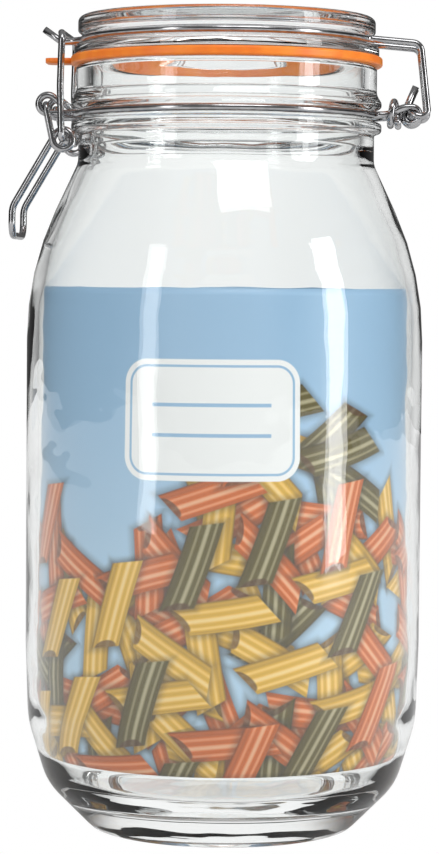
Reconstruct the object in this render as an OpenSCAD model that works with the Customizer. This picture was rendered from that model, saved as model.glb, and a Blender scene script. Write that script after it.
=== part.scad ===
// Bail clamp jar: glass jar and lid, rubber seal, sprung wire closure and a paper sleeve.
// Origin at the middle of the foot on the surface it stands on, +Z up.
// The clamp is on the -X side and the hinge on the +X side. All sizes are in millimetres.

/* [Jar] */
// Outside radius of the straight body
body_r = 69; // [66:0.5:72]
// Thickness of the glass in the body
wall = 3.8; // [3:0.1:4.6]
// Height of the mouth rim above the surface the jar stands on
rim_z = 265; // [255:1:290]
// Outside radius of the rim
rim_r = 52.3; // [52:0.1:53]
// Radius of the mouth opening
mouth_r = 46.5; // [46:0.1:47]
// Outside radius of the neck below the closure beads
neck_r = 51.5; // [51:0.1:52]
// Outside radius of the two beads that hold the neck wires
bead_r = 54; // [53.5:0.1:54.2]
// Radius at the bottom of the groove for the neck wires
groove_r = 50.9; // [50.5:0.1:51]
// Slope of the shoulder, as radius lost for each millimetre of height
shoulder_slope = 0.466; // [0.44:0.002:0.5]
// Radius of the round between body and shoulder
shoulder_round = 106; // [90:1:120]
// Thickness of the base in the middle
base_t = 7.5; // [6:0.5:9]
// Radius of the ring that the jar stands on
foot_r = 43.5; // [42:0.5:45]

/* [Lid and seal] */
// Thickness of the rubber seal
seal_t = 3.2; // [2.8:0.1:3.6]
// Outside radius of the seal
seal_r = 54.2; // [53.5:0.1:55]
// How far the pull tab of the seal reaches from the jar axis
tab_reach = 63; // [60:0.5:66]
// Width of the pull tab
tab_w = 13; // [9:0.5:18]
// Height of the lid above the seal
lid_h = 13.7; // [13:0.1:14.5]
// Radius of the lid's lower flange
flange_r = 53; // [52.5:0.1:53.4]
// Radius of the lid's top rim
top_r = 51.7; // [51.2:0.1:52.2]
// Radius at the bottom of the lid's wire groove
lid_groove_r = 48.6; // [48.4:0.1:48.8]

/* [Wires] */
// Diameter of the closure wire
wire_d = 2.4; // [2:0.1:2.5]
// Radius of a plain bend in the wire, at the wire's middle
bend_r = 4; // [3.5:0.1:4.5]
// Half the distance between the two front eyes
eye_y = 13.6; // [13.4:0.1:14]
// Radius of the front eyes, at the wire's middle
eye_r = 3.1; // [3:0.05:3.3]
// Radius of the lever's coils, at the wire's middle
coil_r = 3.4; // [3.2:0.05:3.6]
// Half the width of the lever's handle
handle_y = 14.4; // [14.3:0.1:14.8]
// Half the width of the clamp link
link_y = 20.2; // [20:0.1:21]
// Half the distance between the lid wire's hinge arms
arm_y = 12; // [12:0.1:12.6]
// Half the distance between the neck wires where they go round the hinge bar
rear_y = 9.2; // [9:0.05:9.25]
// Radius of the rear eyes, at the wire's middle
rear_eye_r = 2.65; // [2.6:0.05:2.8]
// Radius of the tie's loops, at the wire's middle
tie_r = 3.6; // [3.5:0.05:3.7]

/* [Paper sleeve] */
// Height of the sleeve's lower edge
sleeve_z0 = 27; // [27:0.5:40]
// Height of the sleeve's upper edge
sleeve_z1 = 188; // [120:1:190]
// How far the sleeve leans in under the shoulder
sleeve_lean = 1.8; // [1.8:0.1:3]
// Thickness of the paper
sleeve_t = 0.4; // [0.3:0.05:0.6]

/* [Hidden] */

fit = 0.05;                           // clearance between pieces that bear on each other
wire_r = wire_d / 2;
joint_gap = 0.03;                      // between the end faces of neighbouring stretches
joint_r = wire_r + 0.015;              // ball over each joint
body_in_r = body_r - wall;

seal_z = rim_z + fit;
lid_z = seal_z + seal_t + fit;        // underside of the lid's flange
lid_top = lid_z + lid_h;

collar_z = rim_z - 17;                // middle height of the neck wires in their groove
collar_r = groove_r + wire_r + fit;
lid_wire_z = lid_z + 5.7;             // middle height of the lid wire in its groove
lid_wire_r = lid_groove_r + wire_r + fit;

eye_c = [-60.9, collar_z + eye_r];                      // middle of the front eyes, [x, z]
pin_c = eye_c + [-0.4, -0.3];                           // lever pivot
coil_c = pin_c + [6, -11.9];                            // middle of the lever's coils
lever_y = handle_y + wire_d + 0.2;                      // outer turn of the lever's coils
handle_dir = 238.5;                                     // heading of the handle's strands
handle_bend = coil_c + [-17.7, -23.4];
handle_end = handle_bend + [-0.1, -9.7];

notch = [-57.8, lid_wire_z - 0.4];                      // bend at the root of the hook
hook_tip = notch + [-5.9, 4.2];
hook_y = wire_r + 0.15;
link_top = notch + [2.6, 1.4];                          // top corners of the link
link_mid = notch + [0.65, 2.8];                         // middle of the link's top bar

bar_c = [64.4, collar_z + 0.1];                         // hinge bar
arm_top = [67.2, lid_wire_z - 1.7];
arm_foot = bar_c + [5.7, -1.2];
stub_dir = 66.6;                                        // heading of the rear wire ends
stub_l = 9.6;

tie_x = 57.1;
tie_fit = 0.25;                                         // play of the loop round its wire
tie_c = [rear_y + wire_d + tie_fit - tie_r, collar_z + 1]; // middle of a tie loop, [|y|, z]

function unit(v) = v / norm(v);

// ---- outlines of turned shapes ----

// The corner at b between its neighbours a and c, rounded, as points along the arc.
function rounded_corner(a, b, c, radius) =
    let (u = unit(a - b), v = unit(c - b), half = acos(max(-1, min(1, u * v))) / 2)
    radius == 0 || half > 89.5 ? [b] :
    let (reach = radius / tan(half), p = b + u * reach, q = b + v * reach,
         mid = b + (u + v) / norm(u + v) * radius / sin(half),
         start = atan2(p[1] - mid[1], p[0] - mid[0]),
         turn = atan2(q[1] - mid[1], q[0] - mid[0]) - start,
         sweep = turn > 180 ? turn - 360 : turn < -180 ? turn + 360 : turn,
         steps = max(2, ceil(abs(sweep) / 9)))
    [for (i = [0:steps]) [mid[0] + radius * cos(start + sweep * i / steps),
                          mid[1] + radius * sin(start + sweep * i / steps)]];

// The closed outline through corners [r, z, radius].
function rounded_outline(corners) =
    let (n = len(corners), flat = [for (c = corners) [c[0], c[1]]])
    [for (i = [0:n - 1])
        each rounded_corner(flat[(i + n - 1) % n], flat[i], flat[(i + 1) % n], corners[i][2])];

module turned(corners, fn = 160) {
    rotate_extrude($fn = fn) polygon(rounded_outline(corners));
}

// ---- round wire along a bent centreline ----

function xyz(p) = [p[0], p[1], p[2]];
function turn_at(a, b, c) = acos(max(-1, min(1, unit(b - a) * unit(c - b))));

// Length that the bend at point i takes from each of its straight neighbours.
function bend_reach(path, i) =
    i == 0 || i == len(path) - 1 ? 0
    : path[i][3] * tan(turn_at(xyz(path[i - 1]), xyz(path[i]), xyz(path[i + 1])) / 2);

function across(w) = unit(cross(w, abs(w[2]) < 0.9 ? [0, 0, 1] : [1, 0, 0]));

// Puts its child with +X along u, +Y along v and +Z along w, at p.
module placed(u, v, w, p) {
    multmatrix([[u[0], v[0], w[0], p[0]], [u[1], v[1], w[1], p[1]],
                [u[2], v[2], w[2], p[2]], [0, 0, 0, 1]]) children();
}

module rod(a, b) {
    w = unit(b - a);
    u = across(w);
    placed(u, cross(w, u), w, a) cylinder(h = norm(b - a), r = wire_r, $fn = 40);
}

// A bend stops a hair short of its neighbours, and a ball fills each joint.
module bend(a, b, c, radius) {
    u = unit(b - a);
    v = unit(c - b);
    turn = turn_at(a, b, c);
    trim = joint_gap / radius * 180 / PI;
    mid = b + unit(v - u) * radius / cos(turn / 2);
    out = unit(b - u * radius * tan(turn / 2) - mid);
    placed(out, u, cross(out, u), mid)
        rotate([0, 0, trim]) rotate_extrude(angle = turn - 2 * trim, $fn = max(48, 2 * radius))
            translate([radius, 0]) circle(r = wire_r, $fn = 40);
}

module ball(p) {
    translate(p) sphere(r = joint_r, $fn = 40);
}

function other_side(path) = [for (p = path) [p[0], -p[1], p[2], p[3]]];

// path: points [x, y, z, bend radius]; the two end points need no radius.
module bent_wire(path) {
    mirror([0, 1, 0]) wire_stretches(other_side(path));
}

// A wire that is the same on both sides, from its near half, which ends short of y = 0.
module two_sided_wire(near) {
    bent_wire(near);
    bent_wire(other_side(near));
    ball([near[len(near) - 1][0], 0, near[len(near) - 1][2]]);
}

module wire_stretches(path) {
    n = len(path);
    reach = [for (i = [0:n - 1]) bend_reach(path, i)];
    for (i = [0:n - 2]) {
        a = xyz(path[i]);
        b = xyz(path[i + 1]);
        w = unit(b - a);
        straight = norm(b - a) - reach[i] - reach[i + 1] > 0.1;
        if (straight)
            rod(a + w * reach[i], b - w * reach[i + 1]);
        if (straight && i > 0)
            ball(a + w * reach[i]);
        if (i < n - 2)
            ball(b - w * reach[i + 1]);
    }
    for (i = [1:n - 2])
        bend(xyz(path[i - 1]), xyz(path[i]), xyz(path[i + 1]), path[i][3]);
}

// Corners of an arc in the XZ plane about c = [x, z], its y going from y0 to y1.
function arc_xz(c, r, a0, a1, n, y0, y1) =
    [for (i = [0:n - 1])
        let (s = (i + 0.5) / n, a = a0 + (a1 - a0) * s, k = r / cos((a1 - a0) / n / 2))
        [c[0] + k * cos(a), y0 + (y1 - y0) * i / (n - 1), c[1] + k * sin(a), r]];

// Corners of an arc in the YZ plane about c = [y, z], its x going from x0 to x1.
function arc_yz(c, r, a0, a1, n, x0, x1) =
    [for (i = [0:n - 1])
        let (s = (i + 0.5) / n, a = a0 + (a1 - a0) * s, k = r / cos((a1 - a0) / n / 2))
        [x0 + (x1 - x0) * i / (n - 1), c[0] + k * cos(a), c[1] + k * sin(a), r]];

// Corners of an arc about the jar axis at height z.
function arc_xy(r, a0, a1, n, z) =
    [for (i = [0:n - 1])
        let (a = a0 + (a1 - a0) * (i + 0.5) / n, k = r / cos((a1 - a0) / n / 2))
        [k * cos(a), k * sin(a), z, r]];

// Where a collar of radius r leaves its circle for a strand at distance y from the XZ plane:
// the angle from the X axis, and the x of the bend's corner.
function leave_angle(r, y, b) = asin((y + b) / (r + b));
function leave_x(r, y, b) =
    (r + b) * cos(leave_angle(r, y, b)) - b * tan((90 - leave_angle(r, y, b)) / 2);

// ---- sub-parts ----

module jar_body() {
    shoulder_drop = body_r - neck_r;
    neck_z = collar_z - 16.7;
    shoulder_z = neck_z - shoulder_drop / shoulder_slope;
    floor_z = 4.5 + base_t;
    color([0.86, 0.92, 0.91, 0.35])
        turned([
            [0, 4.5, 0], [foot_r - 6, 4.5, 3], [foot_r - 2.6, 0, 1.2], [foot_r + 2.4, 0, 1.5],
            [foot_r + 4.2, 1.6, 1.4], [body_r - 7.5, 15.5, 20], [body_r - 0.9, 37, 36],
            [body_r, 64, 60], [body_r, shoulder_z, shoulder_round], [neck_r, neck_z, 8],
            [neck_r, collar_z - 6.5, 1], [bead_r, collar_z - 5.6, 1.2],
            [bead_r, collar_z - 2.6, 1.2], [groove_r, collar_z - 1.9, 0.9],
            [groove_r, collar_z + 1.7, 0.9], [bead_r, collar_z + 2.9, 1.2],
            [bead_r, collar_z + 4.6, 2], [rim_r, collar_z + 7.4, 5],
            [rim_r, rim_z, 1.2], [mouth_r, rim_z, 1.6], [mouth_r, neck_z + 6, 8],
            [neck_r - wall, neck_z - 1, 8], [body_in_r, shoulder_z - 1, shoulder_round - wall],
            [body_in_r, 44, 30], [body_in_r - 3, 27.5, 18], [body_in_r - 6.8, 19.5, 9],
            [body_in_r - 15, floor_z, 7], [0, floor_z, 0]]);
}

module lid() {
    recess_r = foot_r + 3.4;                            // another jar's foot sits in it
    boss_r = mouth_r - 1.5;
    color([0.84, 0.9, 0.9, 0.4])
        turned([
            [0, lid_z + 2.6, 0], [boss_r - 6.5, lid_z + 2.6, 5], [boss_r - 4, lid_z - 4.6, 1.5],
            [boss_r, lid_z - 4.6, 1.4], [boss_r, lid_z, 0.8], [flange_r, lid_z, 0.9],
            [flange_r, lid_z + 3.8, 1.4], [lid_groove_r, lid_wire_z - 1.5, 0.8],
            [lid_groove_r, lid_wire_z + 1.4, 0.8], [top_r, lid_wire_z + 2.3, 1.2],
            [top_r, lid_top, 2.2], [recess_r, lid_top, 1.6], [recess_r - 2.2, lid_top - 4.2, 2.5],
            [0, lid_top - 4.2, 0]]);
}

module seal_ring() {
    seal_in_r = mouth_r - 1.2;
    tab_z = seal_z + 0.9;
    color([0.98, 0.45, 0.06]) union() {
        turned([[seal_in_r, seal_z, 0.3], [seal_r, seal_z, 0.9],
                [seal_r, seal_z + seal_t, 0.9], [seal_in_r, seal_z + seal_t, 0.3]], 120);
        difference() {
            translate([-tab_reach, -tab_w / 2, tab_z])
                cube([tab_reach - seal_r + 3, tab_w, 1.6]);
            for (side = [-1, 1])
                translate([-tab_reach, side * tab_w / 2, tab_z - 1])
                    rotate([0, 0, 45]) cube([2.4, 2.4, 8], center = true);
        }
    }
}

// One half of the neck wire: front end, front eye, collar, rear eye and rear end.
function neck_wire_path() =
    let (front = leave_angle(collar_r, eye_y, bend_r),
         rear = leave_angle(collar_r, rear_y, bend_r),
         tail = 50, tail_l = 4.2,
         stub_at = stub_dir - 270,
         eye_out = eye_c + eye_r * [cos(tail), sin(tail)],
         stub_from = bar_c + rear_eye_r * [cos(stub_at), sin(stub_at)])
    concat(
        [[eye_out[0] + tail_l * cos(tail - 90), -eye_y, eye_out[1] + tail_l * sin(tail - 90), 0]],
        arc_xz(eye_c, eye_r, tail, 270, 2, -eye_y, -eye_y),
        [[-leave_x(collar_r, eye_y, bend_r), -eye_y, collar_z, bend_r]],
        arc_xy(collar_r, 180 + front, 360 - rear, 1, collar_z),
        [[leave_x(collar_r, rear_y, bend_r), -rear_y, collar_z, bend_r],
         [56.5, -rear_y, collar_z + 0.2, 8],
         [61.6, -rear_y, bar_c[1] + rear_eye_r, 8]],
        arc_xz(bar_c, rear_eye_r, 90, stub_at, 3, -rear_y, wire_d + 0.2 - rear_y),
        [[stub_from[0] + stub_l * cos(stub_dir), wire_d + 0.2 - rear_y,
          stub_from[1] + stub_l * sin(stub_dir), 0]]);

module neck_wire_near() {
    color("silver") bent_wire(neck_wire_path());
}

module neck_wire_far() {
    color("silver") bent_wire(other_side(neck_wire_path()));
}

// Cross wire with a loop round the rear strand of each neck wire.
module neck_tie() {
    near = concat(
        [[tie_x + 2.6, -tie_c[0] - tie_r - 1.6, tie_c[1] - tie_r, 0]],
        arc_yz([-tie_c[0], tie_c[1]], tie_r, -90, 270, 4, tie_x + 2.6, tie_x),
        [[tie_x, -joint_gap, tie_c[1] - tie_r, 0]]);
    color("silver") two_sided_wire(near);
}

module lid_wire() {
    hook_b = 6;
    front = leave_angle(lid_wire_r, hook_y, hook_b);
    rear = leave_angle(lid_wire_r, arm_y, bend_r);
    near = concat(
        [[hook_tip[0], -hook_y, hook_tip[1], 0], [notch[0], -hook_y, notch[1], 3],
         [-leave_x(lid_wire_r, hook_y, hook_b), -hook_y, lid_wire_z, hook_b]],
        arc_xy(lid_wire_r, 180 + front, 360 - rear, 1, lid_wire_z),
        [[leave_x(lid_wire_r, arm_y, bend_r), -arm_y, lid_wire_z, bend_r],
         [arm_top[0], -arm_y, arm_top[1], 3.2], [arm_foot[0], -arm_y, arm_foot[1], 2.2],
         [bar_c[0], -arm_y, bar_c[1], 2], [bar_c[0], -joint_gap, bar_c[1], 0]]);
    color("silver") two_sided_wire(near);
}

// Closed loop from the lever's coils up over the hook.
module clamp_link() {
    foot = [coil_c[0], -link_y, coil_c[1], 2.4];
    near = [[coil_c[0], -joint_gap, coil_c[1], 0], foot,
            [coil_c[0] - 0.5, -link_y, (coil_c[1] + link_top[1]) / 2, 60],
            [link_top[0], -link_y, link_top[1], 3.4],
            [link_mid[0], -6, link_mid[1] - 0.1, 20],
            [link_mid[0], -joint_gap, link_mid[1] - 0.1, 0]];
    color("silver") {
        two_sided_wire(near);
        ball([coil_c[0], 0, coil_c[1]]);
    }
}

// Handle with a coil and a pivot end on each side.
module clamp_lever() {
    gap = coil_c - pin_c;
    down = atan2(gap[1], gap[0]) - asin(coil_r / norm(gap));
    near = concat(
        [[pin_c[0], 2 - eye_y, pin_c[1], 0], [pin_c[0], -lever_y, pin_c[1], 2]],
        arc_xz(coil_c, coil_r, down + 270, handle_dir + 270, 3, -lever_y, -handle_y),
        [[handle_bend[0], -handle_y, handle_bend[1], 8],
         [handle_end[0], -handle_y, handle_end[1], 5],
         [handle_end[0], -joint_gap, handle_end[1], 0]]);
    color("silver") two_sided_wire(near);
}

module label_insert() {
    paper_r = body_in_r - 0.3;
    outer = [[paper_r - 3.6, sleeve_z0, 0], [paper_r - 0.55, sleeve_z0 + 15.5, 30],
             [paper_r, sleeve_z0 + 30, 30], [paper_r - sleeve_lean, sleeve_z1, 0]];
    color([0.45, 0.68, 0.82])
        turned(concat(outer, [for (i = [3:-1:0]) outer[i] - [sleeve_t, 0, 0]]));
}

jar_body();
lid();
seal_ring();
neck_wire_near();
neck_wire_far();
neck_tie();
lid_wire();
clamp_link();
clamp_lever();
label_insert();
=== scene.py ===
import math

import bmesh
import bpy
from mathutils import Matrix, Vector


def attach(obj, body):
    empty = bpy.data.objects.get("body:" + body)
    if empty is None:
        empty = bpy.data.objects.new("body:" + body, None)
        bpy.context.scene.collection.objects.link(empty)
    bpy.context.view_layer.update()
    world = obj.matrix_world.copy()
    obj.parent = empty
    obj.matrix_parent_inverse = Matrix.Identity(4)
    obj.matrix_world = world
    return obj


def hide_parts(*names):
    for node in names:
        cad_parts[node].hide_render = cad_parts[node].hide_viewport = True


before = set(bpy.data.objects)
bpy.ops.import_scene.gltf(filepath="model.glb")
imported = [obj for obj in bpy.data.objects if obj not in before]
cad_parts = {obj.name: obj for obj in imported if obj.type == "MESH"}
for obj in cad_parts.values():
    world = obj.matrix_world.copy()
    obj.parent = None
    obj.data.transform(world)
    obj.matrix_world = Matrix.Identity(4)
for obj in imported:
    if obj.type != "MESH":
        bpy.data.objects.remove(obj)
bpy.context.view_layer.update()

# ---- sizes, in millimetres as in the CAD source; MM turns them into metres ----

MM = 0.001

BODY_R = 69
WALL = 3.8
RIM_Z = 265
NECK_R = 51.5
MOUTH_R = 46.5
BEAD_R = 54
GROOVE_R = 50.9
SHOULDER_SLOPE = 0.466
SHOULDER_ROUND = 106
FOOT_R = 43.5
BASE_TOP = 12
COLLAR_Z = RIM_Z - 17
SEAL_Z = 265.05
SEAL_T = 3.2
LID_Z = 268.3
LID_TOP = 282
TOP_R = 51.7
LID_GROOVE_R = 48.6
LID_WIRE_Z = LID_Z + 5.7

WIRE_R = 1.2
COLLAR_R = GROOVE_R + WIRE_R + 0.05
LID_WIRE_R = LID_GROOVE_R + WIRE_R + 0.05
BEND_R = 4
EYE_Y = 13.6
EYE_R = 3.1
EYE = (-60.9, COLLAR_Z + EYE_R)
PIN = (EYE[0] - 0.4, EYE[1] - 0.3)
COIL = (PIN[0] + 6, PIN[1] - 11.9)
COIL_R = 3.4
HANDLE_Y = 14.4
LEVER_Y = HANDLE_Y + 2 * WIRE_R + 0.2
HANDLE_HEADING = 238.5
HANDLE_BEND = (COIL[0] - 17.7, COIL[1] - 23.4)
HANDLE_END = (HANDLE_BEND[0] - 0.1, HANDLE_BEND[1] - 9.7)
LINK_Y = 20.2
NOTCH = (-57.8, LID_WIRE_Z - 0.4)
HOOK_TIP = (NOTCH[0] - 5.9, NOTCH[1] + 4.2)
HOOK_Y = WIRE_R + 0.15
LINK_TOP = (NOTCH[0] + 2.6, NOTCH[1] + 1.4)
LINK_MID = (NOTCH[0] + 0.65, NOTCH[1] + 2.7)
BAR = (64.4, COLLAR_Z + 0.1)
ARM_TOP = (67.2, LID_WIRE_Z - 1.7)
ARM_FOOT = (BAR[0] + 5.7, BAR[1] - 1.2)
ARM_Y = 12
REAR_Y = 9.2
REAR_STEP = 2 * WIRE_R + 0.2
REAR_EYE_R = 2.65
STUB_HEADING = 66.6
STUB_L = 9.6
TIE_X = 57.1
TIE_R = 3.6
TIE = (REAR_Y + 2 * WIRE_R + 0.25 - TIE_R, COLLAR_Z + 1)


# ---- shader sums ----


class Value:
    """A socket in a node tree that takes part in sums."""

    def __init__(self, tree, socket):
        self.tree = tree
        self.socket = socket

    def sum(self, operation, *others):
        node = self.tree.nodes.new("ShaderNodeMath")
        node.operation = operation
        for slot, value in zip(node.inputs, (self, *others)):
            plug(self.tree, slot, value)
        return Value(self.tree, node.outputs[0])

    def swapped(self, operation, other):
        node = self.tree.nodes.new("ShaderNodeMath")
        node.operation = operation
        plug(self.tree, node.inputs[0], other)
        plug(self.tree, node.inputs[1], self)
        return Value(self.tree, node.outputs[0])

    def __add__(self, other):
        return self.sum("ADD", other)

    __radd__ = __add__

    def __sub__(self, other):
        return self.sum("SUBTRACT", other)

    def __rsub__(self, other):
        return self.swapped("SUBTRACT", other)

    def __mul__(self, other):
        return self.sum("MULTIPLY", other)

    __rmul__ = __mul__

    def __truediv__(self, other):
        return self.sum("DIVIDE", other)

    def __neg__(self):
        return self * -1

    def __abs__(self):
        return self.sum("ABSOLUTE")

    def __lt__(self, other):
        return self.sum("LESS_THAN", other)

    def __pow__(self, other):
        return self.sum("POWER", other)

    def sin(self):
        return self.sum("SINE")

    def floor(self):
        return self.sum("FLOOR")

    def top(self, other):
        return self.sum("MAXIMUM", other)

    def least(self, other):
        return self.sum("MINIMUM", other)

    def ramp(self, start, end):
        """0 below start and 1 above end, eased between."""
        node = self.tree.nodes.new("ShaderNodeMapRange")
        node.interpolation_type = "SMOOTHSTEP"
        plug(self.tree, node.inputs["Value"], self)
        node.inputs["From Min"].default_value = start
        node.inputs["From Max"].default_value = end
        return Value(self.tree, node.outputs["Result"])


def plug(tree, slot, value):
    """Links a Value to a socket, or sets a plain number or colour on it."""
    if isinstance(value, Value):
        tree.links.new(value.socket, slot)
    elif isinstance(value, (tuple, list)) and len(value) == 3 and slot.type == "RGBA":
        slot.default_value = (*value, 1)
    else:
        slot.default_value = value


class Finish:
    """A material, or the world, with one method for adding nodes."""

    def __init__(self, owner):
        self.owner = owner
        owner.use_nodes = True
        self.tree = owner.node_tree
        self.tree.nodes.clear()

    def node(self, kind, settings=None, out=0, **inputs):
        node = self.tree.nodes.new("ShaderNode" + kind)
        for name, value in (settings or {}).items():
            setattr(node, name, value)
        for name, value in inputs.items():
            plug(self.tree, node.inputs[name.replace("_", " ")], value)
        return Value(self.tree, node.outputs[out])

    def blend(self, share, first, second):
        node = self.tree.nodes.new("ShaderNodeMix")
        node.data_type = "RGBA"
        plug(self.tree, node.inputs[0], share)
        plug(self.tree, node.inputs[6], first)
        plug(self.tree, node.inputs[7], second)
        return Value(self.tree, node.outputs[2])

    def place(self):
        """The place on the object, in metres, as x, y and z."""
        at = self.node("TexCoord", out="Object")
        node = self.tree.nodes.new("ShaderNodeSeparateXYZ")
        plug(self.tree, node.inputs[0], at)
        return at, [Value(self.tree, s) for s in node.outputs]

    def vector(self, x=0.0, y=0.0, z=0.0):
        return self.node("CombineXYZ", X=x, Y=y, Z=z)

    def output(self, surface, kind="OutputMaterial"):
        node = self.tree.nodes.new("ShaderNode" + kind)
        plug(self.tree, node.inputs["Surface"], surface)
        return self.owner


def glass_finish(name, tint, ripple, ripple_size):
    """Clear glass with faint moulding ripples. Light for other pieces passes straight through."""
    glass = Finish(bpy.data.materials.new(name))
    at, _ = glass.place()
    slow = glass.node("TexNoise", {"noise_dimensions": "3D"}, Vector=at, Scale=1 / ripple_size, Detail=1.5)
    bump = glass.node("Bump", Height=slow, Strength=0.5, Distance=ripple)
    body = glass.node(
        "BsdfPrincipled", Base_Color=tint, Roughness=0.0, IOR=1.5, Transmission_Weight=1.0, Normal=bump
    )
    open_air = glass.node("BsdfTransparent", Color=(0.96, 0.97, 0.97))
    shadow = glass.node("LightPath", out="Is Shadow Ray")
    soft = glass.node("LightPath", out="Is Diffuse Ray")
    passes = glass.tree.nodes.new("ShaderNodeMixShader")
    plug(glass.tree, passes.inputs[0], shadow.top(soft))
    plug(glass.tree, passes.inputs[1], body)
    plug(glass.tree, passes.inputs[2], open_air)
    return glass.output(Value(glass.tree, passes.outputs[0]))


def wire_finish():
    """Bright plated wire with fine drawing lines and a little dulling."""
    wire = Finish(bpy.data.materials.new("bright_wire"))
    at, _ = wire.place()
    dull = wire.node("TexNoise", Vector=at, Scale=260.0, Detail=4.0)
    fine = wire.node("TexNoise", Vector=at, Scale=1800.0, Detail=2.0)
    bump = wire.node("Bump", Height=fine, Strength=0.12, Distance=0.00004)
    tone = wire.blend(dull.ramp(0.35, 0.7), (0.56, 0.56, 0.57), (0.4, 0.4, 0.41))
    body = wire.node(
        "BsdfPrincipled", Base_Color=tone, Metallic=1.0, Roughness=0.1 + 0.14 * dull, Normal=bump
    )
    return wire.output(body)


def rubber_finish():
    """Orange seal rubber with a soft sheen and a faint moulded grain."""
    rubber = Finish(bpy.data.materials.new("orange_rubber"))
    at, _ = rubber.place()
    cloud = rubber.node("TexNoise", Vector=at, Scale=90.0, Detail=3.0)
    grain = rubber.node("TexNoise", Vector=at, Scale=1500.0, Detail=2.0)
    tone = rubber.blend(cloud.ramp(0.3, 0.7), (0.84, 0.18, 0.012), (0.95, 0.27, 0.02))
    bump = rubber.node("Bump", Height=grain, Strength=0.25, Distance=0.00005)
    body = rubber.node(
        "BsdfPrincipled", Base_Color=tone, Roughness=0.34 + 0.12 * cloud, Normal=bump,
        Subsurface_Weight=0.12, Subsurface_Radius=(0.004, 0.0015, 0.0005), Subsurface_Scale=1.0,
    )
    return rubber.output(body)


# ---- the printed sleeve ----

SKY = (0.33, 0.52, 0.72)
TUBE_COLOURS = ((0.74, 0.16, 0.02), (0.86, 0.5, 0.05), (0.13, 0.105, 0.02))
TUBE_L = 30.0
TUBE_W = 10.5
LAYERS = 7
U_STEP, V_STEP, ROW_SHIFT = 7.31, 3.17, 0.41
PANEL_UP = 118.0


def tube_layer(paper, along, up, turn, number, below):
    """One layer of printed pasta tubes over the colour below, all near one heading."""
    c, s = math.cos(turn), math.sin(turn)
    cell_l, cell_w = TUBE_L * 1.5, TUBE_W * 2.0
    u = (along * c + up * s) / cell_l + U_STEP * number
    v = (up * c - along * s) / cell_w + V_STEP * number
    row = v.floor()
    u = u + row * ROW_SHIFT
    column = u.floor()
    seed = paper.vector(column + 0.5, row + 0.5, float(number))
    luck = paper.node("TexWhiteNoise", {"noise_dimensions": "3D"}, Vector=seed)
    spread = paper.node("TexWhiteNoise", {"noise_dimensions": "3D"}, out="Color", Vector=seed)
    parts = paper.tree.nodes.new("ShaderNodeSeparateColor")
    plug(paper.tree, parts.inputs[0], spread)
    kind, shift, lean = (Value(paper.tree, p) for p in parts.outputs[:3])
    p = (u - column - 0.5) * cell_l + (shift - 0.5) * TUBE_L * 0.28
    q = (v - row - 0.5) * cell_w + (lean - 0.5) * TUBE_W * 0.45
    q = q + p * (lean - 0.5) * 0.35
    bow = p * p * (shift - 0.5) / 160
    q = q + bow
    half_w = TUBE_W / 2
    ends = abs(p + q * 0.55) - TUBE_L / 2
    edge = ends.top(abs(q) - half_w)
    cell_u = (column + 0.5 - U_STEP * number - row * ROW_SHIFT) * cell_l
    cell_v = (row + 0.5 - V_STEP * number) * cell_w
    centre_up = cell_v * c + cell_u * s
    centre_along = cell_u * c - cell_v * s
    heap = 92 + 20 * (centre_along / 33 + 0.9).sin() + 13 * (centre_along / 14.5).sin()
    shown = (centre_up < heap) * (luck < 0.86)
    mask = edge.ramp(0.25, -0.25) * shown
    shade = edge.ramp(3.2, -1.0) * shown * 0.62
    round_ = (1 - (q / half_w) * (q / half_w)).top(0.0) ** 0.5
    side = (q / half_w).least(1.0).top(-1.0).sum("ARCSINE")
    ridges = (side * 11).sin() * 0.14 + 0.9
    light = (0.34 + 0.72 * round_ + q / half_w * 0.12) * ridges
    mouth = (p + q * 0.55 - TUBE_L / 2) / 2.6
    mouth = 1 - (mouth * mouth + (q / half_w) * (q / half_w) * 1.5).ramp(0.75, 1.05)
    first = paper.blend(kind.ramp(0.36, 0.361), TUBE_COLOURS[0], TUBE_COLOURS[1])
    tone = paper.blend(kind.ramp(0.72, 0.721), first, TUBE_COLOURS[2])
    lit = paper.blend(light.least(1.0), (0.03, 0.012, 0.004), tone)
    lit = paper.blend(((light - 0.88) * 1.6).top(0.0).least(0.4), lit, (1.0, 0.9, 0.62))
    lit = paper.blend(mouth * 0.8, lit, (0.09, 0.035, 0.012))
    shadowed = paper.blend(shade, below, (0.035, 0.03, 0.02))
    return paper.blend(mask, shadowed, lit)


def paper_finish(low, high):
    """Coated paper printed with a heap of pasta tubes on a pale sky, and a blank white panel."""
    paper = Finish(bpy.data.materials.new("printed_paper"))
    at, (x, y, z) = paper.place()
    along = x.sum("ARCTAN2", -y) * (BODY_R - WALL)
    up = z / MM - low
    fade = (up / (high - low)).ramp(0.1, 1.0)
    colour = paper.blend(fade, (0.46, 0.64, 0.79), SKY)
    for number in range(LAYERS):
        turn = math.radians(-70 + 53 * number)
        colour = tube_layer(paper, along, up, turn, number, colour)
    panel_x, panel_z = abs(along), abs(up - PANEL_UP)
    corner = ((panel_x - 22).top(0.0) ** 2 + (panel_z - 12).top(0.0) ** 2) ** 0.5
    panel = corner.ramp(8.2, 7.8)
    border = corner.ramp(5.3, 5.5) * corner.ramp(6.3, 6.1)
    rules = (1 - abs(panel_z - 5).ramp(0.5, 0.7)) * panel_x.ramp(20.2, 19.8)
    ink = paper.blend((border + rules).least(1.0), (0.93, 0.93, 0.92), SKY)
    colour = paper.blend(panel, colour, ink)
    fibre = paper.node("TexNoise", Vector=at, Scale=900.0, Detail=3.0)
    bump = paper.node("Bump", Height=fibre, Strength=0.15, Distance=0.00004)
    body = paper.node("BsdfPrincipled", Base_Color=colour, Roughness=0.42, Coat_Weight=0.15, Normal=bump)
    return paper.output(body)


# ---- turned pieces ----

TURN_STEPS = 192


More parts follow.
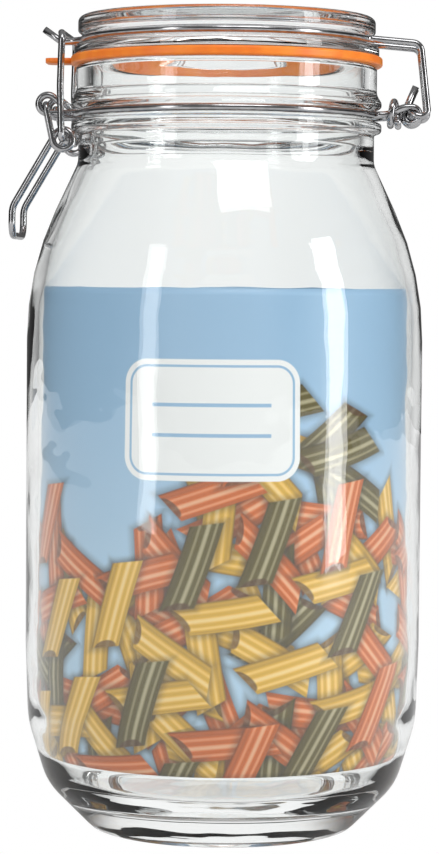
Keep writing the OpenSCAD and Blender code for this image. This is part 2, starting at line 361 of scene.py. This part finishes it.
def rounded(corners):
    """Points of the closed outline through corners (r, z, radius), no more than 2.5 mm apart."""
    count = len(corners)
    flat = [Vector(c[:2]) for c in corners]
    points = []
    for i, corner in enumerate(corners):
        a, b, c = flat[i - 1], flat[i], flat[(i + 1) % count]
        u, v = (a - b).normalized(), (c - b).normalized()
        half = math.acos(max(-1, min(1, u.dot(v)))) / 2
        radius = corner[2]
        if radius == 0 or half > math.radians(89.5):
            points.append(b)
            continue
        start = b + u * radius / math.tan(half)
        middle = b + (u + v).normalized() * radius / math.sin(half)
        sweep = (math.pi - 2 * half) * (1 if u.cross(v) < 0 else -1)
        steps = max(4, math.ceil(math.degrees(abs(sweep)) / 7))
        for k in range(steps + 1):
            points.append(middle + Matrix.Rotation(sweep * k / steps, 2) @ (start - middle))
    fine = []
    for i, a in enumerate(points):
        b = points[(i + 1) % len(points)]
        cuts = max(1, math.ceil((b - a).length / 2.5))
        fine += [a.lerp(b, k / cuts) for k in range(cuts)]
    return fine


def keep(name, shape, finish, node_name, body):
    """Turns a bmesh into a finished piece that stands for a CAD node and rides on its body."""
    mesh = bpy.data.meshes.new(name)
    shape.to_mesh(mesh)
    shape.free()
    mesh.shade_smooth()
    mesh.materials.append(finish)
    piece = bpy.data.objects.new(name, mesh)
    bpy.context.scene.collection.objects.link(piece)
    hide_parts(node_name)
    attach(piece, body)
    return piece


def turned(corners):
    """A closed outline spun round the jar's axis."""
    shape = bmesh.new()
    ring = [shape.verts.new((p[0] * MM, 0, p[1] * MM)) for p in rounded(corners)]
    edges = [shape.edges.new((a, b)) for a, b in zip(ring, ring[1:] + ring[:1])]
    bmesh.ops.spin(shape, geom=ring + edges, cent=(0, 0, 0), axis=(0, 0, 1),
                   angle=2 * math.pi, steps=TURN_STEPS, use_merge=True)
    bmesh.ops.remove_doubles(shape, verts=shape.verts, dist=1e-6)
    bmesh.ops.dissolve_degenerate(shape, dist=1e-7, edges=shape.edges)
    bmesh.ops.recalc_face_normals(shape, faces=shape.faces)
    return shape


NECK_Z = COLLAR_Z - 16.7
SHOULDER_Z = NECK_Z - (BODY_R - NECK_R) / SHOULDER_SLOPE
BODY_IN_R = BODY_R - WALL

jar_corners = [
    (0, 4.5, 0), (FOOT_R - 6, 4.5, 3), (FOOT_R - 2.6, 0, 1.2), (FOOT_R + 2.4, 0, 1.5),
    (FOOT_R + 4.2, 1.6, 1.4), (BODY_R - 7.5, 15.5, 20), (BODY_R - 0.9, 37, 36),
    (BODY_R, 64, 60), (BODY_R, SHOULDER_Z, SHOULDER_ROUND), (NECK_R, NECK_Z, 8),
    (NECK_R, COLLAR_Z - 6.5, 1), (BEAD_R, COLLAR_Z - 5.6, 1.2),
    (BEAD_R, COLLAR_Z - 2.6, 1.2), (GROOVE_R, COLLAR_Z - 1.9, 0.9),
    (GROOVE_R, COLLAR_Z + 1.7, 0.9), (BEAD_R, COLLAR_Z + 2.9, 1.2),
    (BEAD_R, COLLAR_Z + 4.6, 2), (52.3, COLLAR_Z + 7.4, 5),
    (52.3, RIM_Z, 1.2), (MOUTH_R, RIM_Z, 1.6), (MOUTH_R, NECK_Z + 6, 8),
    (NECK_R - WALL, NECK_Z - 1, 8), (BODY_IN_R, SHOULDER_Z - 1, SHOULDER_ROUND - WALL),
    (BODY_IN_R, 44, 30), (BODY_IN_R - 3, 27.5, 18), (BODY_IN_R - 6.8, 19.5, 9),
    (BODY_IN_R - 15, BASE_TOP, 7), (0, BASE_TOP, 0),
]

BOSS_R = MOUTH_R - 1.5
RECESS_R = FOOT_R + 3.4
lid_corners = [
    (0, LID_Z + 2.6, 0), (BOSS_R - 6.5, LID_Z + 2.6, 5), (BOSS_R - 4, LID_Z - 4.6, 1.5),
    (BOSS_R, LID_Z - 4.6, 1.4), (BOSS_R, LID_Z, 0.8), (53, LID_Z, 0.9),
    (53, LID_Z + 3.8, 1.4), (LID_GROOVE_R, LID_WIRE_Z - 1.5, 0.8),
    (LID_GROOVE_R, LID_WIRE_Z + 1.4, 0.8), (TOP_R, LID_WIRE_Z + 2.3, 1.2),
    (TOP_R, LID_TOP, 2.2), (RECESS_R, LID_TOP, 1.6), (RECESS_R - 2.2, LID_TOP - 4.2, 2.5),
    (0, LID_TOP - 4.2, 0),
]

jar_glass = glass_finish("jar_glass", (0.97, 0.985, 0.98), 0.0009, 0.03)
lid_glass = glass_finish("lid_glass", (0.91, 0.925, 0.925), 0.0003, 0.02)
wire_metal = wire_finish()
seal_rubber = rubber_finish()

keep("glass_jar", turned(jar_corners), jar_glass, "jar_body", "jar")
keep("glass_lid", turned(lid_corners), lid_glass, "lid", "lid")

# ---- seal ----

SEAL_IN_R = MOUTH_R - 1.2
TAB_W = 13
TAB_REACH = 63
seal = turned([(SEAL_IN_R, SEAL_Z, 0.3), (54.2, SEAL_Z, 0.9),
               (54.2, SEAL_Z + SEAL_T, 0.9), (SEAL_IN_R, SEAL_Z + SEAL_T, 0.3)])
tab = bmesh.ops.create_cube(seal, size=1)["verts"]
TAB_L = TAB_REACH - 51
bmesh.ops.scale(seal, vec=(TAB_L * MM, TAB_W * MM, 1.6 * MM), verts=tab)
bmesh.ops.translate(seal, vec=(-(51 + TAB_L / 2) * MM, 0, (SEAL_Z + 1.7) * MM), verts=tab)
uprights = [e for e in {e for v in tab for e in v.link_edges}
            if abs(e.verts[0].co.z - e.verts[1].co.z) > MM and e.verts[0].co.x < -TAB_REACH * MM * 0.95]
bmesh.ops.bevel(seal, geom=uprights, offset=3 * MM, offset_type="OFFSET", segments=6, profile=0.5,
                affect="EDGES", material=-1)
keep("rubber_seal", seal, seal_rubber, "seal_ring", "lid")

# ---- wires ----


def route(path):
    """Points along a bent wire. path holds (x, y, z, bend radius)."""
    points = [Vector(path[0][:3])]
    for before, here, after in zip(path, path[1:], path[2:]):
        a, b, c = (Vector(p[:3]) for p in (before, here, after))
        u, v = (b - a).normalized(), (c - b).normalized()
        turn = u.angle(v)
        if turn < 1e-4:
            points.append(b)
            continue
        start = b - u * here[3] * math.tan(turn / 2)
        middle = b + (v - u).normalized() * here[3] / math.cos(turn / 2)
        axis = u.cross(v)
        steps = max(2, math.ceil(math.degrees(turn) / 7))
        for k in range(steps + 1):
            points.append(middle + Matrix.Rotation(turn * k / steps, 3, axis) @ (start - middle))
    points.append(Vector(path[-1][:3]))
    apart = [points[0]]
    for p in points[1:]:
        if (p - apart[-1]).length > 0.02:
            apart.append(p)
    return apart


def wire(name, path, node_name, body, closed=False):
    """A round wire swept along its route."""
    points = route(path)
    curve = bpy.data.curves.new(name, "CURVE")
    curve.dimensions = "3D"
    curve.bevel_depth = WIRE_R * MM
    curve.bevel_resolution = 6
    curve.use_fill_caps = not closed
    spline = curve.splines.new("POLY")
    if closed:
        points = points[:-1]
    spline.points.add(len(points) - 1)
    for knot, p in zip(spline.points, points):
        knot.co = (*(p * MM), 1)
    spline.use_cyclic_u = closed
    maker = bpy.data.objects.new(name + "_route", curve)
    shape = bmesh.new()
    shape.from_mesh(maker.to_mesh())
    maker.to_mesh_clear()
    bpy.data.objects.remove(maker)
    bmesh.ops.remove_doubles(shape, verts=shape.verts, dist=1e-7)
    bmesh.ops.recalc_face_normals(shape, faces=shape.faces)
    return keep(name, shape, wire_metal, node_name, body)


def other_side(path):
    return [(x, -y, z, r) for x, y, z, r in path]


def both_sides(near):
    """The whole path of a wire that is the same on both sides, from its near half."""
    return near + other_side(near)[::-1]


def arc_xz(c, r, a0, a1, n, y0, y1):
    k = r / math.cos(math.radians((a1 - a0) / n / 2))
    out = []
    for i in range(n):
        a = math.radians(a0 + (a1 - a0) * (i + 0.5) / n)
        out.append((c[0] + k * math.cos(a), y0 + (y1 - y0) * i / max(1, n - 1), c[1] + k * math.sin(a), r))
    return out


def arc_yz(c, r, a0, a1, n, x0, x1):
    return [(y, x, z, r2) for x, y, z, r2 in arc_xz(c, r, a0, a1, n, x0, x1)]


def arc_xy(r, a0, a1, n, z):
    k = r / math.cos(math.radians((a1 - a0) / n / 2))
    angles = [math.radians(a0 + (a1 - a0) * (i + 0.5) / n) for i in range(n)]
    return [(k * math.cos(a), k * math.sin(a), z, r) for a in angles]


def leave(r, y, b):
    """Where a wire leaves its circle of radius r for a strand at y: the angle, and the corner's x."""
    a = math.asin((y + b) / (r + b))
    return math.degrees(a), (r + b) * math.cos(a) - b * math.tan((math.pi / 2 - a) / 2)


def neck_wire_path():
    front, front_x = leave(COLLAR_R, EYE_Y, BEND_R)
    rear, rear_x = leave(COLLAR_R, REAR_Y, BEND_R)
    tail, tail_l = math.radians(50), 4.2
    stub = math.radians(STUB_HEADING)
    stub_y = REAR_STEP - REAR_Y
    eye_out = (EYE[0] + EYE_R * math.cos(tail), EYE[1] + EYE_R * math.sin(tail))
    stub_from = (BAR[0] - REAR_EYE_R * math.sin(stub), BAR[1] + REAR_EYE_R * math.cos(stub))
    return [
        (eye_out[0] + tail_l * math.sin(tail), -EYE_Y, eye_out[1] - tail_l * math.cos(tail), 0),
        *arc_xz(EYE, EYE_R, 50, 270, 4, -EYE_Y, -EYE_Y),
        (-front_x, -EYE_Y, COLLAR_Z, BEND_R),
        *arc_xy(COLLAR_R, 180 + front, 360 - rear, 3, COLLAR_Z),
        (rear_x, -REAR_Y, COLLAR_Z, BEND_R),
        (56.5, -REAR_Y, COLLAR_Z + 0.2, 8),
        (61.6, -REAR_Y, BAR[1] + REAR_EYE_R, 8),
        *arc_xz(BAR, REAR_EYE_R, 90, STUB_HEADING - 270, 4, -REAR_Y, stub_y),
        (stub_from[0] + STUB_L * math.cos(stub), stub_y, stub_from[1] + STUB_L * math.sin(stub), 0),
    ]


def lid_wire_path():
    front, front_x = leave(LID_WIRE_R, HOOK_Y, 6)
    rear, rear_x = leave(LID_WIRE_R, ARM_Y, BEND_R)
    return both_sides([
        (HOOK_TIP[0], -HOOK_Y, HOOK_TIP[1], 0),
        (NOTCH[0], -HOOK_Y, NOTCH[1], 3),
        (-front_x, -HOOK_Y, LID_WIRE_Z, 6),
        *arc_xy(LID_WIRE_R, 180 + front, 360 - rear, 3, LID_WIRE_Z),
        (rear_x, -ARM_Y, LID_WIRE_Z, BEND_R),
        (ARM_TOP[0], -ARM_Y, ARM_TOP[1], 3.2),
        (ARM_FOOT[0], -ARM_Y, ARM_FOOT[1], 2.2),
        (BAR[0], -ARM_Y, BAR[1], 2),
        (BAR[0], -1, BAR[1], 0),
    ])


def tie_path():
    return both_sides([
        (TIE_X + 2.6, -TIE[0] - TIE_R - 1.6, TIE[1] - TIE_R, 0),
        *arc_yz((-TIE[0], TIE[1]), TIE_R, -90, 270, 4, TIE_X + 2.6, TIE_X),
        (TIE_X, -1, TIE[1] - TIE_R, 0),
    ])


def link_path():
    half = [
        (COIL[0], -1, COIL[1], 0),
        (COIL[0], -LINK_Y, COIL[1], 2.4),
        (COIL[0] - 0.5, -LINK_Y, (COIL[1] + LINK_TOP[1]) / 2, 60),
        (LINK_TOP[0], -LINK_Y, LINK_TOP[1], 3.4),
        (LINK_MID[0], -6, LINK_MID[1], 20),
    ]
    return both_sides(half) + half[:1]


def lever_path():
    gap = Vector(COIL) - Vector(PIN)
    down = math.degrees(math.atan2(gap[1], gap[0]) - math.asin(COIL_R / gap.length))
    return both_sides([
        (PIN[0], 2 - EYE_Y, PIN[1], 0),
        (PIN[0], -LEVER_Y, PIN[1], 2),
        *arc_xz(COIL, COIL_R, down + 270, HANDLE_HEADING + 270, 5, -LEVER_Y, -HANDLE_Y),
        (HANDLE_BEND[0], -HANDLE_Y, HANDLE_BEND[1], 8),
        (HANDLE_END[0], -HANDLE_Y, HANDLE_END[1], 5),
        (HANDLE_END[0], -1, HANDLE_END[1], 0),
    ])


wire("neck_wire_front", neck_wire_path(), "neck_wire_near", "jar")
wire("neck_wire_back", other_side(neck_wire_path()), "neck_wire_far", "jar")
wire("hinge_tie", tie_path(), "neck_tie", "jar")
wire("lid_band_wire", lid_wire_path(), "lid_wire", "lid")
wire("bail_link", link_path(), "clamp_link", "link", closed=True)
wire("bail_lever", lever_path(), "clamp_lever", "lever")

# ---- sleeve ----

SLEEVE_LOW = 27
SLEEVE_HIGH = 188
PAPER_R = BODY_IN_R - 0.3
paper_outer = [(PAPER_R - 3.6, SLEEVE_LOW, 0), (PAPER_R - 0.55, SLEEVE_LOW + 15.5, 30),
               (PAPER_R, SLEEVE_LOW + 30, 30), (PAPER_R - 1.8, SLEEVE_HIGH, 0)]
sleeve = turned(paper_outer + [(r - 0.4, z, b) for r, z, b in paper_outer[::-1]])
keep("paper_sleeve", sleeve, paper_finish(SLEEVE_LOW, SLEEVE_HIGH), "label_insert", "jar")

# ---- floor, studio and camera ----


def studio_world():
    """White behind the jar for the camera and through glass, and a grey room with soft boxes for gloss."""
    world = Finish(bpy.data.worlds.new("studio"))
    bpy.context.scene.world = world.owner
    way = world.node("TexCoord", out="Generated")
    parts = world.tree.nodes.new("ShaderNodeSeparateXYZ")
    plug(world.tree, parts.inputs[0], way)
    x, y, z = (Value(world.tree, s) for s in parts.outputs)
    seen = world.node("LightPath", out="Is Camera Ray")
    through = world.node("LightPath", out="Is Transmission Ray")
    clear = 0.03 + 0.98 * abs(x).ramp(0.78, 0.36) * (z.ramp(-0.9, -0.35) * 0.7 + 0.3)
    room = 0.55 + 0.35 * z.ramp(-0.1, 0.9)
    mirror = world.node("LightPath", out="Is Glossy Ray")
    dim = 0.03 + 0.25 * z.ramp(0.2, 0.9) + 0.07 * abs(y).ramp(0.6, 1.0)
    level = room + mirror * (dim - room)
    level = level + through * (clear - level)
    level = level + seen * (1 - level)
    grey = world.node("CombineColor", Red=level, Green=level, Blue=level)
    shade = world.node("Background", Color=grey, Strength=1.0)
    world.output(shade, "OutputWorld")


def soft_box(name, azimuth, height, distance, size, power):
    """A lamp that faces the jar. Azimuth 0 is in front of the jar, and 90 is on the hinge side."""
    lamp = bpy.data.lights.new(name, "AREA")
    lamp.shape = "RECTANGLE"
    lamp.size, lamp.size_y = size
    lamp.energy = power
    a = math.radians(azimuth)
    place = Vector((math.sin(a) * distance, -math.cos(a) * distance, height))
    aim = Vector((0, 0, 0.15)) - place
    holder = bpy.data.objects.new(name, lamp)
    holder.matrix_world = Matrix.Translation(place) @ aim.to_track_quat("-Z", "Y").to_matrix().to_4x4()
    bpy.context.scene.collection.objects.link(holder)


def studio_floor():
    floor = Finish(bpy.data.materials.new("white_floor"))
    matt = floor.node("BsdfDiffuse", Color=(0.65, 0.65, 0.65))
    glow = floor.node("Emission", Color=(1.0, 1.0, 1.0), Strength=1.0)
    seen = floor.node("LightPath", out="Is Camera Ray")
    through = floor.node("LightPath", out="Is Transmission Ray")
    mix = floor.tree.nodes.new("ShaderNodeMixShader")
    plug(floor.tree, mix.inputs[0], seen.top(through * 0.9))
    plug(floor.tree, mix.inputs[1], matt)
    plug(floor.tree, mix.inputs[2], glow)
    finish = floor.output(Value(floor.tree, mix.outputs[0]))
    shape = bmesh.new()
    bmesh.ops.create_grid(shape, x_segments=1, y_segments=1, size=2.5)
    mesh = bpy.data.meshes.new("floor")
    shape.to_mesh(mesh)
    shape.free()
    mesh.materials.append(finish)
    plane = bpy.data.objects.new("floor", mesh)
    bpy.context.scene.collection.objects.link(plane)


def portrait_camera():
    """A long lens level with the shoulder, a little to the hinge side."""
    data = bpy.data.cameras.new("camera")
    data.lens = 116.8
    data.sensor_width = 36
    camera = bpy.data.objects.new("camera", data)
    round_, back, height = math.radians(3.7), 0.97, 0.191
    yaw, pitch, roll = math.radians(3.7 + 0.09), math.radians(-3.04), math.radians(0.45)
    place = Vector((math.sin(round_) * back, -math.cos(round_) * back, height))
    turn = (Matrix.Rotation(yaw, 4, "Z") @ Matrix.Rotation(math.pi / 2 + pitch, 4, "X")
            @ Matrix.Rotation(roll, 4, "Z"))
    camera.matrix_world = Matrix.Translation(place) @ turn
    data.clip_start, data.clip_end = 0.05, 20
    bpy.context.scene.collection.objects.link(camera)
    bpy.context.scene.camera = camera


studio_world()
studio_floor()
soft_box("left_box", -40, 0.35, 1.1, (0.2, 0.9), 1.8)
soft_box("right_box", 70, 0.35, 1.0, (0.24, 0.9), 4.2)
soft_box("top_box", 20, 1.3, 0.7, (0.7, 0.5), 4)
portrait_camera()

bpy.context.scene.view_settings.view_transform = "Standard"
